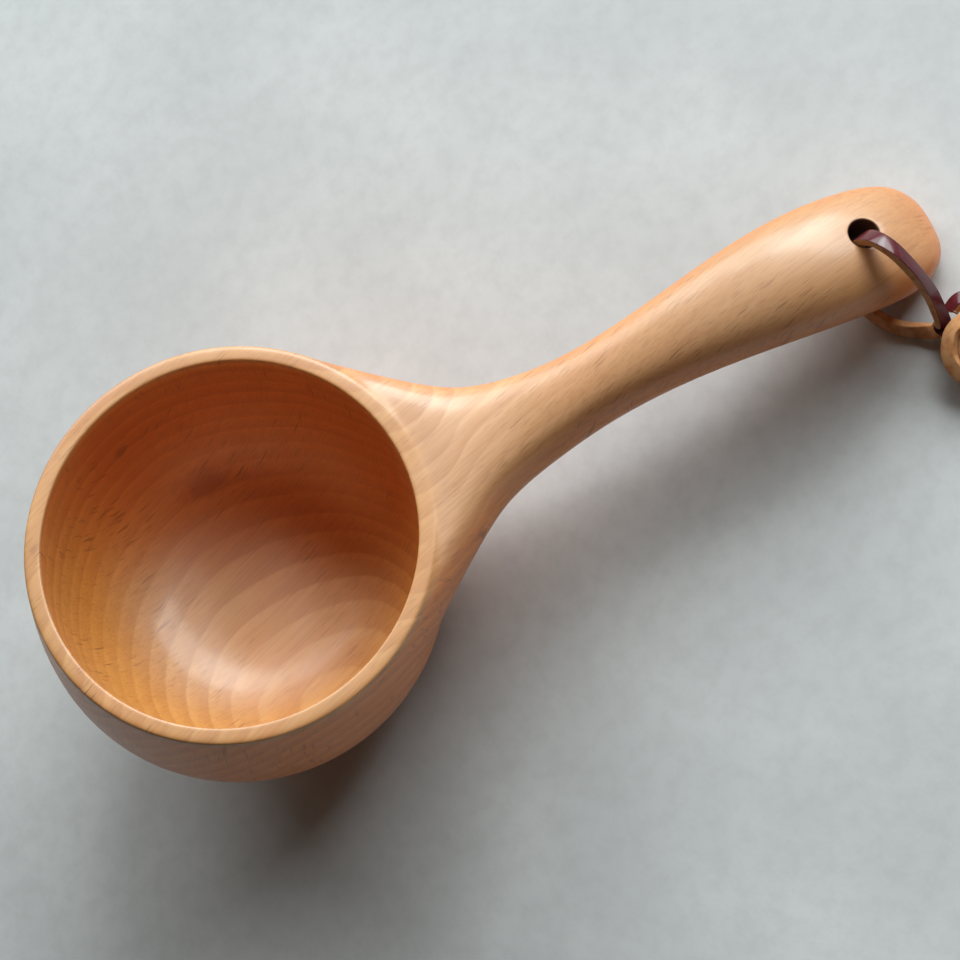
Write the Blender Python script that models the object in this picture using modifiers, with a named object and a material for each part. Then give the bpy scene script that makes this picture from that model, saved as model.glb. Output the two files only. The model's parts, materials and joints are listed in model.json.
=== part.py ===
"""Wooden rice scoop: a bowl and handle carved from one piece of beech, and a leather lace to hang it by.

Units are metres, +Z up.  The scoop is modelled in its carving frame: Z is the bowl's axis, Z = 0 is the
rim's flat top and the handle runs along +X.  An empty then tips it the way it really rests on a table,
on the edge of its foot and the underside of the handle's end, with the middle of its footprint at the
origin.  The lace is placed on the table from the hole that it hangs in.
"""
import math

import bmesh
import bpy
import numpy as np
from mathutils import Matrix, Vector

# Bowl
RIM_RADIUS = 0.0498
RIM_WALL = 0.0041
RIM_ROUNDING = 0.0013
BOWL_HEIGHT = 0.0600
BELLY_RADIUS = 0.0516
BELLY_DEPTH = 0.0280
TOE_SWELL = 0.0022
FOOT_RADIUS = 0.0270
FOOT_ROUNDING = 0.0020
FLOOR_THICKNESS = 0.0090

# Handle: how deep its root stands on the wall, and how far it reaches from the rim's edge
ROOT_DEPTH = 0.0240
HANDLE_REACH = 0.1382
TIP_RISE = 0.0060
# Its nine sections: shares of the reach, rise over the rim, half width, half thickness, and squareness,
# where 2 is an ellipse
SECTION_SHARES = (0.067, 0.132, 0.211, 0.320, 0.443, 0.573, 0.696, 0.812, 0.917)
SECTION_RISES = (-0.0102, -0.0092, -0.0072, -0.0022, 0.0048, 0.0113, 0.0144, 0.0136, 0.0100)
HALF_WIDTHS = (0.0190, 0.0143, 0.0116, 0.0096, 0.0104, 0.0130, 0.0153, 0.0159, 0.0146)
HALF_THICKNESSES = (0.0104, 0.0098, 0.0092, 0.0087, 0.0086, 0.0092, 0.0102, 0.0104, 0.0094)
SQUARENESS = (2.9, 2.7, 2.5, 2.3, 2.2, 2.1, 2.1, 2.1, 2.3)
HOLE_FROM_TIP = 0.0250
HOLE_DIAMETER = 0.0074

# Lace: plain round tubes stand for the flat strip, and one thicker tube for both strands in the knot
LACE_THICKNESS = 0.0022
KNOT_STRAND = 0.0042
KNOT_RADIUS = 0.0060
KNOT_SWING = 0.0028
KNOT_HEADING = math.radians(190)
TREFOIL_KEPT = (0.515, 1.215)
TREFOIL_POINTS = 19
SEAT_GAP = 0.0003
# Points between which a smooth route is read, per stretch, and the spacing of a tube's own points
ROUTE_STEPS = 24
LEG_SPACING = 1.5 * LACE_THICKNESS
KNOT_SPACING = 0.55 * KNOT_STRAND
# Strands of the knot nearer along it than this many of its diameters are the same stretch
SAME_STRETCH = 2.5
# Routes are offsets from the point of the table under the middle of the hole
KNOT_MIDDLE = (0.0150, -0.0334)
UPPER_LEG = (
    (0.0001, -0.0003, 0.0157),
    (0.0033, -0.0008, 0.0212),
    (0.0056, -0.0016, 0.0248),
    (0.0082, -0.0044, 0.0275),
    (0.0103, -0.0083, 0.0276),
    (0.0114, -0.0120, 0.0254),
    (0.0118, -0.0158, 0.0212),
    (0.0112, -0.0187, 0.0159),
    (0.0097, -0.0208, 0.0103),
    (0.0080, -0.0226, 0.0060),
)
LOWER_LEG = (
    (-0.0001, -0.0003, 0.0154),
    (-0.0022, -0.0005, 0.0114),
    (-0.0044, -0.0009, 0.0078),
    (-0.0059, -0.0023, 0.0047),
    (-0.0060, -0.0058, 0.0033),
    (-0.0048, -0.0106, 0.0026),
    (-0.0028, -0.0145, 0.0018),
    (-0.0003, -0.0179, 0.0015),
    (0.0032, -0.0206, 0.0015),
    (0.0060, -0.0226, 0.0015),
)
KNOT_ENTRY = (
    (0.0077, -0.0250, 0.0026),
    (0.0088, -0.0280, 0.0025),
    (0.0103, -0.0311, 0.0030),
)
KNOT_EXIT = (
    (0.0210, -0.0286, 0.0071),
    (0.0201, -0.0244, 0.0054),
)
UPPER_TAIL = (
    (0.0183, -0.0203, 0.0055),
    (0.0156, -0.0192, 0.0058),
    (0.0124, -0.0203, 0.0054),
)
LOWER_TAIL = (
    (0.0206, -0.0196, 0.0020),
    (0.0222, -0.0168, 0.0015),
    (0.0244, -0.0144, 0.0015),
)

# The cage: columns round the bowl, of which two on each side of the handle's plane carry the handle
COLUMNS = 16
ROOT_SIDE = 2
ROOT_ROWS = (1, 3)
SMOOTH_LEVELS = 2
SECTION_ANGLES = (0, 38, 64, 90, 116, 142, 180, 218, 244, 270, 296, 322)
HOLE_SIDES = 32
# The stance is looked for between level and this tilt, down to this share of a degree
STEEPEST_TILT = math.radians(45)
TILT_ACCURACY = math.radians(0.00001)
# A smoothed ring lies inside its cage ring by these shares
RING_SHRINK = (4 + 2 * math.cos(2 * math.pi / COLUMNS)) / 6
SECTION_SHRINK = (4 + 2 * math.cos(2 * math.pi / len(SECTION_ANGLES))) / 6


def clear_scene():
    for item in list(bpy.data.objects):
        bpy.data.objects.remove(item, do_unlink=True)


def new_collection(name):
    group = bpy.data.collections.new(name)
    bpy.context.scene.collection.children.link(group)
    return group


def material(name, colour, roughness):
    made = bpy.data.materials.new(name)
    made.use_nodes = True
    shader = made.node_tree.nodes["Principled BSDF"]
    shader.inputs["Base Color"].default_value = (*colour, 1.0)
    shader.inputs["Roughness"].default_value = roughness
    shader.inputs["Metallic"].default_value = 0.0
    return made


# Bowl


def bowl_outside():
    """Radius and height of the outer cage rings, from the rim's edge down to the foot's flat."""
    return (
        (RIM_RADIUS, 0.0),
        (RIM_RADIUS, -RIM_ROUNDING),
        ((RIM_RADIUS + 2 * BELLY_RADIUS) / 3, -0.42 * BELLY_DEPTH),
        (BELLY_RADIUS, -ROOT_DEPTH),
        (BELLY_RADIUS, -0.62 * BOWL_HEIGHT),
        (0.91 * BELLY_RADIUS, -0.82 * BOWL_HEIGHT),
        (FOOT_RADIUS + 0.40 * (BELLY_RADIUS - FOOT_RADIUS), -0.96 * BOWL_HEIGHT),
        (FOOT_RADIUS + FOOT_ROUNDING, -BOWL_HEIGHT),
        (FOOT_RADIUS - FOOT_ROUNDING, -BOWL_HEIGHT),
    )


def bowl_inside():
    """Radius and height of the inner cage rings, from the rim's edge down towards the bowl's floor."""
    radius = RIM_RADIUS - RIM_WALL
    depth = BOWL_HEIGHT - FLOOR_THICKNESS
    return (
        (radius + RIM_ROUNDING, 0.0),
        (radius, 0.0),
        (radius, -RIM_ROUNDING),
        (1.005 * radius, -0.25 * depth),
        (0.975 * radius, -0.52 * depth),
        (0.86 * radius, -0.78 * depth),
        (0.64 * radius, -0.96 * depth),
        (0.36 * radius, -1.012 * depth),
    )


def swell(height):
    """The carved outside leans towards the toe, away from the handle, more and more down to its belly."""
    return -TOE_SWELL * min(1.0, -height / BELLY_DEPTH)


def ring_points(radius, height, middle=0.0):
    spread = radius / RING_SHRINK
    step = 2 * math.pi / COLUMNS
    return [(middle + spread * math.cos(k * step), spread * math.sin(k * step), height) for k in range(COLUMNS)]


def close_round(mesh, ring):
    """Close a ring of sixteen cage points with a flat grid of four by four faces."""
    side = COLUMNS // 4
    start = COLUMNS // 8
    grid = {}
    for k in range(COLUMNS):
        edge, along = divmod(k, side)
        spot = ((side, along), (side - along, side), (0, side - along), (along, 0))[edge]
        grid[spot] = ring[(k - start) % COLUMNS]
    middle = sum((point.co for point in ring), Vector()) / COLUMNS
    radius = (ring[0].co - middle).length
    for i in range(1, side):
        for j in range(1, side):
            u = 2 * i / side - 1
            v = 2 * j / side - 1
            x = u * math.sqrt(1 - v * v / 2) * radius
            y = v * math.sqrt(1 - u * u / 2) * radius
            grid[i, j] = mesh.verts.new(middle + Vector((x, y, 0.0)))
    for i in range(side):
        for j in range(side):
            mesh.faces.new((grid[i, j], grid[i + 1, j], grid[i + 1, j + 1], grid[i, j + 1]))


def join_rings(mesh, first, second, leave_out=()):
    for k in range(len(first)):
        after = (k + 1) % len(first)
        if k not in leave_out:
            mesh.faces.new((first[k], first[after], second[after], second[k]))


# Handle


def handle_path():
    """Distance from the bowl's axis and rise of the handle's middle line, section by section to the tip."""
    path = [(RIM_RADIUS + share * HANDLE_REACH, rise) for share, rise in zip(SECTION_SHARES, SECTION_RISES)]
    return path + [(RIM_RADIUS + HANDLE_REACH, TIP_RISE)]


def path_slope(path, k):
    before = path[max(k - 1, 0)]
    after = path[k + 1]
    return math.atan2(after[1] - before[1], after[0] - before[0])


def powered(value, power):
    return math.copysign(abs(value) ** power, value)


def section_ring(mesh, k):
    """Twelve cage points round the handle at one section, square to its run."""
    path = handle_path()
    along, rise = path[k]
    slope = path_slope(path, k)
    power = 2 / SQUARENESS[k]
    ring = []
    for degrees in SECTION_ANGLES:
        angle = math.radians(degrees)
        across = powered(math.cos(angle), power) * HALF_WIDTHS[k] / SECTION_SHRINK
        up = powered(math.sin(angle), power) * HALF_THICKNESSES[k] / SECTION_SHRINK
        ring.append(mesh.verts.new((along - up * math.sin(slope), across, rise + up * math.cos(slope))))
    return ring


def close_tip(mesh, ring):
    """Close the handle's end with a grid of four by two faces, its middle row pushed out to the tip."""
    reach, rise = handle_path()[-1]
    top = ring[1:6]
    bottom = ring[7:12][::-1]
    middle = [ring[0]]
    for upper, lower in zip(top[1:4], bottom[1:4]):
        middle.append(mesh.verts.new((reach, (upper.co.y + lower.co.y) / 2, rise)))
    middle.append(ring[6])
    for k in range(len(top) - 1):
        mesh.faces.new((top[k], top[k + 1], middle[k + 1], middle[k]))
        mesh.faces.new((middle[k], middle[k + 1], bottom[k + 1], bottom[k]))


# Scoop


def scoop_cage():
    """The coarse cage of the whole scoop: the bowl's rings and the handle drawn out of its wall."""
    mesh = bmesh.new()
    outside = [[mesh.verts.new(p) for p in ring_points(r, z, swell(z))] for r, z in bowl_outside()]
    inside = [[mesh.verts.new(p) for p in ring_points(r, z)] for r, z in bowl_inside()]
    first, last = ROOT_ROWS
    root_points = [k % COLUMNS for k in range(-ROOT_SIDE, ROOT_SIDE + 1)]
    for row in range(len(outside) - 1):
        left_open = root_points[:-1] if first <= row < last else ()
        join_rings(mesh, outside[row], outside[row + 1], left_open)
    join_rings(mesh, outside[0], inside[0])
    for upper, lower in zip(inside, inside[1:]):
        join_rings(mesh, upper, lower)
    close_round(mesh, outside[-1])
    close_round(mesh, inside[-1])

    # The wall's gap has five points along its top, one at each side and five along its bottom.  They are
    # taken in the order of SECTION_ANGLES: the +Y side, along the top, the -Y side, back along the bottom.
    top = [outside[first][k] for k in root_points]
    sides = [outside[first + 1][k] for k in root_points]
    bottom = [outside[last][k] for k in root_points]
    ring = [sides[-1]] + top[::-1] + [sides[0]] + bottom
    for k in range(len(SECTION_SHARES)):
        new_ring = section_ring(mesh, k)
        join_rings(mesh, ring, new_ring)
        ring = new_ring
    close_tip(mesh, ring)
    bmesh.ops.recalc_face_normals(mesh, faces=mesh.faces)
    return mesh


def hole_middle():
    """The hole's middle in the carving frame, and the slope of the handle there."""
    distance = RIM_RADIUS + HANDLE_REACH - HOLE_FROM_TIP
    path = handle_path()
    for before, after in zip(path, path[1:]):
        if distance <= after[0]:
            break
    share = (distance - before[0]) / (after[0] - before[0])
    slope = math.atan2(after[1] - before[1], after[0] - before[0])
    return Vector((distance, 0.0, before[1] + share * (after[1] - before[1]))), slope


def hole_cutter(cutters):
    middle, slope = hole_middle()
    bpy.ops.mesh.primitive_cylinder_add(
        vertices=HOLE_SIDES,
        radius=HOLE_DIAMETER / 2,
        depth=4 * max(HALF_THICKNESSES),
        location=middle,
        rotation=(0.0, -slope, 0.0),
    )
    cutter = bpy.context.object
    cutter.name = "hole_cutter"
    for home in list(cutter.users_collection):
        home.objects.unlink(cutter)
    cutters.objects.link(cutter)
    cutter.display_type = "WIRE"
    cutter.hide_render = True
    return cutter


def make_scoop(group, cutter, beech):
    """Bowl and handle in one piece: the cage smoothed, with the hanging hole bored through."""
    cage = scoop_cage()
    data = bpy.data.meshes.new("scoop")
    cage.to_mesh(data)
    cage.free()
    data.shade_smooth()
    data.materials.append(beech)
    scoop = bpy.data.objects.new("scoop", data)
    group.objects.link(scoop)
    rounded = scoop.modifiers.new("rounded form", "SUBSURF")
    rounded.levels = SMOOTH_LEVELS
    rounded.render_levels = SMOOTH_LEVELS
    bored = scoop.modifiers.new("hanging hole", "BOOLEAN")
    bored.operation = "DIFFERENCE"
    bored.solver = "EXACT"
    bored.object = cutter
    return scoop


# Stance on the table


def finished_points(item):
    """The finished surface's points, in the frame that the object is modelled in."""
    bpy.context.view_layer.update()
    data = item.evaluated_get(bpy.context.evaluated_depsgraph_get()).to_mesh()
    return np.array([point.co[:] for point in data.vertices])


def resting_tilt(points):
    """How far the scoop tips about its foot before the handle's end touches down."""
    on_handle = points[:, 0] > RIM_RADIUS

    def clearance(tilt):
        height = points[:, 2] * math.cos(tilt) - points[:, 0] * math.sin(tilt)
        return height[on_handle].min() - height[~on_handle].min()

    low = 0.0
    high = STEEPEST_TILT
    while high - low > TILT_ACCURACY:
        middle = (low + high) / 2
        if clearance(middle) > 0:
            low = middle
        else:
            high = middle
    return low


def rest_on_table(scoop, cutter):
    """Tip the scoop and its cutter together, and return the empty that holds them."""
    points = finished_points(scoop)
    tilt = resting_tilt(points)
    tipped = points @ np.array(Matrix.Rotation(tilt, 3, "Y")).T
    low = tipped.min(axis=0)
    high = tipped.max(axis=0)
    stance = bpy.data.objects.new("resting_stance", None)
    bpy.context.scene.collection.objects.link(stance)
    stance.rotation_euler = (0.0, tilt, 0.0)
    stance.location = (-(low[0] + high[0]) / 2, -(low[1] + high[1]) / 2, -low[2])
    scoop.parent = stance
    cutter.parent = stance
    bpy.context.view_layer.update()
    return stance


# Lace


def smooth_route(points, spacing):
    """Points at an even spacing along a smooth curve through the route's own points."""
    knots = np.array(points, dtype=float)
    ends = np.vstack([2 * knots[0] - knots[1], knots, 2 * knots[-1] - knots[-2]])
    fine = []
    for k in range(len(knots) - 1):
        a, b, c, d = ends[k:k + 4]
        for t in np.linspace(0, 1, ROUTE_STEPS, endpoint=False):
            fine.append(0.5 * (2 * b + (c - a) * t + (2 * a - 5 * b + 4 * c - d) * t ** 2
                               + (3 * b - 3 * c + d - a) * t ** 3))
    fine.append(knots[-1])
    fine = np.array(fine)
    run = np.concatenate([[0], np.cumsum(np.linalg.norm(np.diff(fine, axis=0), axis=1))])
    count = max(2, round(run[-1] / spacing)) + 1
    even = np.linspace(0, run[-1], count)
    return np.stack([np.interp(even, run, fine[:, axis]) for axis in range(3)], axis=1)


def knot_route():
    """An overhand knot is a trefoil cut open: two turns, which swing in and out and up and down three times.

    The two strands that enter and leave stand in for the stretch of the trefoil that is cut out.
    """
    middle = Vector((*KNOT_MIDDLE, SEAT_GAP + KNOT_STRAND / 2 + KNOT_SWING))
    ring = []
    for share in np.linspace(*TREFOIL_KEPT, TREFOIL_POINTS):
        phase = 2 * math.pi * share
        angle = KNOT_HEADING + 2 * phase
        radius = KNOT_RADIUS + KNOT_SWING * math.cos(3 * phase)
        height = -KNOT_SWING * math.sin(3 * phase)
        ring.append(tuple(middle + Vector((radius * math.cos(angle), radius * math.sin(angle), height))))
    return [*KNOT_ENTRY, *ring, *KNOT_EXIT]


def least_gap(points, diameter):
    """The least gap between two stretches of a tube that are more than a few diameters apart along it."""
    run = np.concatenate([[0], np.cumsum(np.linalg.norm(np.diff(points, axis=0), axis=1))])
    apart = np.linalg.norm(points[:, None] - points[None], axis=2)
    far = np.abs(run[:, None] - run[None]) > SAME_STRETCH * diameter
    return float(apart[far].min()) - diameter


def tube(group, name, points, base, diameter, leather):
    """A round tube along the points, which start from the base point."""
    curve = bpy.data.curves.new(name, "CURVE")
    curve.dimensions = "3D"
    curve.bevel_depth = diameter / 2
    curve.bevel_resolution = 2
    curve.use_fill_caps = True
    line = curve.splines.new("POLY")
    line.points.add(len(points) - 1)
    for point, place in zip(line.points, points):
        point.co = (*place, 1.0)
    line.use_smooth = True
    curve.materials.append(leather)
    made = bpy.data.objects.new(name, curve)
    made.location = base
    group.objects.link(made)
    return made


def seat(end, inner, side):
    """Two points square to the knot's end face, where the upper or the lower strand meets it."""
    outwards = Vector(end - inner).normalized()
    upwards = Vector((0.0, 0.0, 1.0))
    upwards = (upwards - upwards.project(outwards)).normalized()
    near = Vector(end) + upwards * side * (LACE_THICKNESS + SEAT_GAP) / 2 + outwards * SEAT_GAP
    return tuple(near), tuple(near + outwards * LACE_THICKNESS)


def make_lace(group, base, leather):
    """The knot, the two legs from the hole's middle to it, and the two tails that leave it."""
    knot = smooth_route(knot_route(), KNOT_SPACING)
    print("least gap in the knot, mm:", round(least_gap(knot, KNOT_STRAND) * 1000, 2))
    tube(group, "lace_knot", knot, base, KNOT_STRAND, leather)
    for name, leg, tail, side in (("upper", UPPER_LEG, UPPER_TAIL, 1), ("lower", LOWER_LEG, LOWER_TAIL, -1)):
        near, far = seat(knot[0], knot[1], side)
        leg_points = smooth_route((*leg, far, near), LEG_SPACING)
        tube(group, "lace_" + name + "_leg", leg_points, base, LACE_THICKNESS, leather)
        near, far = seat(knot[-1], knot[-2], side)
        tail_points = smooth_route((near, far, *tail), LEG_SPACING)
        tube(group, "lace_" + name + "_tail", tail_points, base, LACE_THICKNESS, leather)


def main():
    clear_scene()
    group = new_collection("rice_scoop")
    cutters = new_collection("cutters")
    beech = material("beech", (0.60, 0.33, 0.16), 0.38)
    leather = material("leather", (0.16, 0.05, 0.04), 0.45)
    cutter = hole_cutter(cutters)
    scoop = make_scoop(group, cutter, beech)
    stance = rest_on_table(scoop, cutter)
    hole = stance.matrix_world @ hole_middle()[0]
    make_lace(group, (hole.x, hole.y, 0.0), leather)


main()
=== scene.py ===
"""Looks of the wooden rice scoop and its leather lace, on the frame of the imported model.

Units are metres.  The scoop is built in the carving frame of the part's source: Z is the bowl's axis,
Z = 0 the rim's flat top, and the handle runs along +X.  Its mesh is then tipped the way it rests, and the
wood's material goes back into the carving frame, so the grain runs through bowl and handle alike.
"""

import json
import math

import bmesh
import bpy
import numpy as np
from mathutils import Matrix, Vector
from mathutils.bvhtree import BVHTree


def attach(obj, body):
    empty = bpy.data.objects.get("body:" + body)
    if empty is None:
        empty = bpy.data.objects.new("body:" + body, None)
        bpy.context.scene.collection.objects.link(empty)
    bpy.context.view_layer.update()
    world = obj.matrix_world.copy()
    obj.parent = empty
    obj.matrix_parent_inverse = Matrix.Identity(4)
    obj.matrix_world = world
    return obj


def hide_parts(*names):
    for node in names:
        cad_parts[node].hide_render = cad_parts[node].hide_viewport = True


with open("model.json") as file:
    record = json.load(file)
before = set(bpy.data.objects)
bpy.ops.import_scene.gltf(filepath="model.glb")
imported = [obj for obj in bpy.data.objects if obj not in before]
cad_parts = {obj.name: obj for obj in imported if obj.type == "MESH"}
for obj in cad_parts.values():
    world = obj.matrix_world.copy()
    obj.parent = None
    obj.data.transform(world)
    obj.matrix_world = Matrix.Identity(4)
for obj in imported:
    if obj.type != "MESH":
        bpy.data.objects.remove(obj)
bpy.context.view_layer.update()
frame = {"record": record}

# Camera
CAMERA_AT = (0.18341, -0.18814, 0.55691)
CAMERA_AIM = (-0.01383, 0.00347, 0.0)
CAMERA_UP = (0.48002, 0.86778, 0.12856)
LENS_MM = 90
SENSOR_MM = 36
NEAREST_SEEN = 0.01

# Light: two broad soft windows on one side, and a dim warm room.  Azimuth and elevation are in degrees
WINDOWS = {
    "window": {"azimuth": 36, "elevation": 34, "size": (1.60, 1.00), "power": 41},
    "wide_window": {"azimuth": 79, "elevation": 33, "size": (2.20, 1.15), "power": 39},
}
WINDOW_DISTANCE = 2.0
WINDOW_COLOUR = (0.92, 1.0, 1.0)
ROOM_COLOUR = (1.0, 0.78, 0.60)
ROOM_STRENGTH = 0.05
FLOOR_SIZE = 6.0

# Bowl, as in the part's source
RIM_RADIUS = 0.0498
RIM_WALL = 0.0041
RIM_ROUNDING = 0.0013
BOWL_HEIGHT = 0.0600
BELLY_RADIUS = 0.0516
BELLY_DEPTH = 0.0280
TOE_SWELL = 0.0022
FOOT_RADIUS = 0.0270
FOOT_ROUNDING = 0.0020
FLOOR_THICKNESS = 0.0090
# The cage rings between these sizes, as shares of them: outside of the belly's depth, of the belly's radius
# and the bowl's height, and of the way from foot to belly and the height, then inside of radius and depth
SHOULDER_RING = 0.42
SIDE_RINGS = ((1.0, 0.62), (0.91, 0.82))
FOOT_RING = (0.40, 0.96)
INSIDE_RINGS = ((1.005, 0.25), (0.975, 0.52), (0.86, 0.78), (0.64, 0.96), (0.36, 1.012))

# Handle, as in the part's source
ROOT_DEPTH = 0.0240
HANDLE_REACH = 0.1382
TIP_RISE = 0.0060
SECTION_SHARES = (0.067, 0.132, 0.211, 0.320, 0.443, 0.573, 0.696, 0.812, 0.917)
SECTION_RISES = (-0.0102, -0.0092, -0.0072, -0.0022, 0.0048, 0.0113, 0.0144, 0.0136, 0.0100)
HALF_WIDTHS = (0.0190, 0.0143, 0.0116, 0.0096, 0.0104, 0.0130, 0.0153, 0.0159, 0.0146)
HALF_THICKNESSES = (0.0104, 0.0098, 0.0092, 0.0087, 0.0086, 0.0092, 0.0102, 0.0104, 0.0094)
SQUARENESS = (2.9, 2.7, 2.5, 2.3, 2.2, 2.1, 2.1, 2.1, 2.3)
HOLE_FROM_TIP = 0.0250
HOLE_DIAMETER = 0.0074

# The cage, as in the part's source, and the finer smoothing and the rounded edge of the hole
COLUMNS = 16
ROOT_SIDE = 2
ROOT_ROWS = (1, 3)
# How far the rim's edge is moved out and up where it runs into the root, by column from the middle
ROOT_MERGE = ((0.0018, 0.0014), (0.0008, 0.0006), (0.0, 0.0))
SECTION_ANGLES = (0, 38, 64, 90, 116, 142, 180, 218, 244, 270, 296, 322)
RING_SHRINK = (4 + 2 * math.cos(2 * math.pi / COLUMNS)) / 6
SECTION_SHRINK = (4 + 2 * math.cos(2 * math.pi / len(SECTION_ANGLES))) / 6
SMOOTH_LEVELS = 3
HOLE_SIDES = 48
HOLE_EDGE = 0.0005
HOLE_EDGE_ANGLES = (0, 25, 50, 75)
# The cutter's flare goes on past the rounded edge by this share of it, and then this far clear of the handle.
# Rays from this many half thicknesses away find the surface
HOLE_OVERRUN = 0.4
CUTTER_CLEAR = 0.005
CUTTER_REACH = 4

# Wood, in the carving frame.  How much the grain runs aside for each metre along: at the bowl's axis, and its
# change along the scoop
GRAIN_SLANT = (0.42, -0.567)
# How steeply the growth layers lean: at the bowl's axis, and its change along and across the scoop
LAYER_LEAN = (0.857, 5.5, -1.2)
# How far the growth layers rise or drop along the scoop
LAYER_RISE = (
    (-0.055, 0.0300),
    (-0.050, 0.0264),
    (-0.025, 0.0092),
    (0.0, 0.0),
    (0.025, 0.0007),
    (0.047, 0.0071),
    (0.065, -0.0036),
    (0.085, -0.0129),
    (0.120, -0.0300),
    (0.190, -0.0600),
)
# How light the wood is along the scoop
TONE = ((-0.060, 1.0), (0.045, 1.0), (0.070, 1.12), (0.105, 1.10), (0.150, 0.96), (0.190, 0.93))
# A year's height, where the years are counted from, and how strong the weakest and the strongest layers are
YEAR = 0.0065
YEAR_START = 0.12
YEAR_STRENGTHS = (0.5, 1.0)
# How quickly and how much the years differ in width, how far the layers wobble, and how they fade on the
# handle
UNEVEN_SCALE = 0.7
YEAR_UNEVEN = 0.5
LAYER_WOBBLE = 0.0009
LAYER_FADE = (0.068, 0.110, 1.0, 0.22)
# Where in a year its dark edge and its light crest come and go
DARK_EDGE = ((0.0, 0.05), (0.80, 0.10))
CREST = ((0.66, 0.90), (1.0, 0.96))
# The wood's noises: how often they repeat in a metre, along the grain, beside it and upwards, their detail
# and roughness, and the span of the noise that counts
WOOD_NOISES = {
    "streak": ((16.0, 330.0, 200.0), 2.0, 0.5, (0.32, 0.68)),
    "pore": ((55.0, 1500.0, 1000.0), 2.0, 0.6, (0.42, 0.70)),
    "clump": ((55.0, 55.0, 55.0), 1.0, 0.5, (0.35, 0.65)),
    "patch": ((19.0, 19.0, 19.0), 1.5, 0.5, (0.35, 0.65)),
    "sheen": ((60.0, 60.0, 60.0), 3.0, 0.6, (0.3, 0.7)),
}
WOBBLE_GRAIN = (60.0, 240.0, 240.0)
HAND_SCALE = 42.0
# Two sizes of flecks: how often they repeat, the share of places without one, and how strong they are
FLECKS = (((215.0, 2100.0, 120.0), 0.45, 0.7), ((120.0, 1150.0, 85.0), 0.80, 1.0))
FLECK_EDGE = (0.36, 0.18)
FLECK_FADE = 0.22
FLECK_WARP = (0.0016, 0.0010, 0.0016)
FLECK_WARP_SCALE = 260.0
# They show fully on the sides and on the toe, this much elsewhere, and less between the clumps that they
# come in
FLECK_SIDES = (0.10, 0.75)
FLECK_TOE = (-0.012, -0.036)
FLECK_ELSEWHERE = 0.6
FLECK_CLUMPS = (0.4, 1.0)
CLUMPED = 0.20
# The stain's middle, how its size goes along, across and up, its soft edge, and how ragged it is
STAIN_AT = (-0.0030, 0.0325, -0.0450)
STAIN_SIZE = (105.0, 190.0, 190.0)
STAIN_EDGE = (1.45, 0.75)
STAIN_NOISE_SCALE = 230.0
STAIN_RAGGED = 0.9
# How far past the hole's radius its painted shade fades out, and starts to
BORE_FADE = (0.0004, 0.0001)
# Two shades of the paler and of the darker wood, and how much of the darker shows in a dark edge
PALE = ((0.665, 0.262, 0.062), (0.640, 0.275, 0.070))
DEEP = ((0.530, 0.172, 0.033), (0.510, 0.182, 0.038))
DEEP_SHARE = 0.62
# The marks' colours and how much of each shows
MARKS = {
    "crest": ((0.720, 0.335, 0.105), 0.42),
    "streak": ((0.480, 0.160, 0.030), 0.20),
    "pore": ((0.370, 0.115, 0.024), 0.24),
    "fleck": ((0.235, 0.066, 0.014), 0.62),
    "stain": ((0.300, 0.050, 0.008), 0.50),
    # Painted shade, nearly black, on the side of the bored hole
    "painted_hole_shade": ((0.030, 0.010, 0.005), 0.93),
}
# Painted light and shade, as tints by where the surface lies and how far it faces up: a paler, cooler painted
# sheen on what faces up, on the grip's top and the bowl's floor, and milder on the rim's top; a deeper, more
# saturated painted shade on upright walls, milder inside the bowl, and underneath; and a redder, darker
# painted shade on the bowl's far inner wall
PAINTED_LIGHT_TINTS = {
    # Painted shade underneath and on upright walls, milder on the walls inside the bowl
    "underside": (1.17, 0.84, 0.50),
    "wall": (1.24, 0.94, 0.50),
    "painted_light_wall_inside": (1.06, 1.10, 0.74),
    # Painted shade, redder and darker, on the bowl's far inner wall
    "painted_shade_far_wall": (0.96, 0.67, 0.38),
    # Painted sheen, paler and cooler, on what faces up, and milder on the rim's top
    "top": (0.98, 1.15, 1.98),
    "painted_sheen_grip_top": (0.95, 1.04, 1.46),
    "painted_sheen_floor_inside": (0.90, 1.08, 1.62),
    "rim": (0.99, 1.08, 1.32),
}
# Where these begin and end: by distance from the bowl's axis and by height, along the handle, or by how far
# the surface faces up
RIM_SPANS = ((0.0520, 0.0500), (-0.0035, -0.0010))
INSIDE_SPANS = ((0.0478, 0.0464), (-0.0015, -0.0060))
FAR_WALL_SPAN = (-0.008, 0.030)
FAR_WALL_TURN = 0.5
GRIP_SPAN = (0.12, 0.17)
UNDERSIDE_SPAN = (-0.55, 0.20)
TOP_SPAN = (0.25, 0.95)
# Inside the bowl a surface counts as facing up this much less
INSIDE_LATER = -0.08
WOOD_CONSTANTS = {"coat_weight": 0.40, "coat_roughness": 0.20, "specular_ior_level": 1.0, "ior": 1.55}
WOOD_ROUGHNESS = (0.52, 0.64)
# Heights of the hand-cut unevenness, the pores and the flecks, all times the wood's relief
HAND_HEIGHT = 6.0
PORE_HEIGHT = -0.14
FLECK_HEIGHT = -0.35
WOOD_RELIEF = 0.00006

# Lace: a flat strip, folded at the hole and tied with both its halves together
LACE_WIDTH = 0.0037
LACE_THICKNESS = 0.0020
LACE_CORNER = 0.00032
CORNER_ANGLES = (0, 30, 60, 90)
# How far down its corners the grain side goes, as a share of them
GRAIN_EDGE = 0.6
LACE_STEP = 0.0005
TAIL_CUT = 0.0022
# How far apart the halves' middles lie in the knot
STRAND_SPACING = 0.0023
KNOT_STRAND = 0.0053
# How far the halves roll over each other in the knot, and over what share of it at both ends
KNOT_ROLL = math.radians(158)
ROLL_SHARE = 0.16
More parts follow.
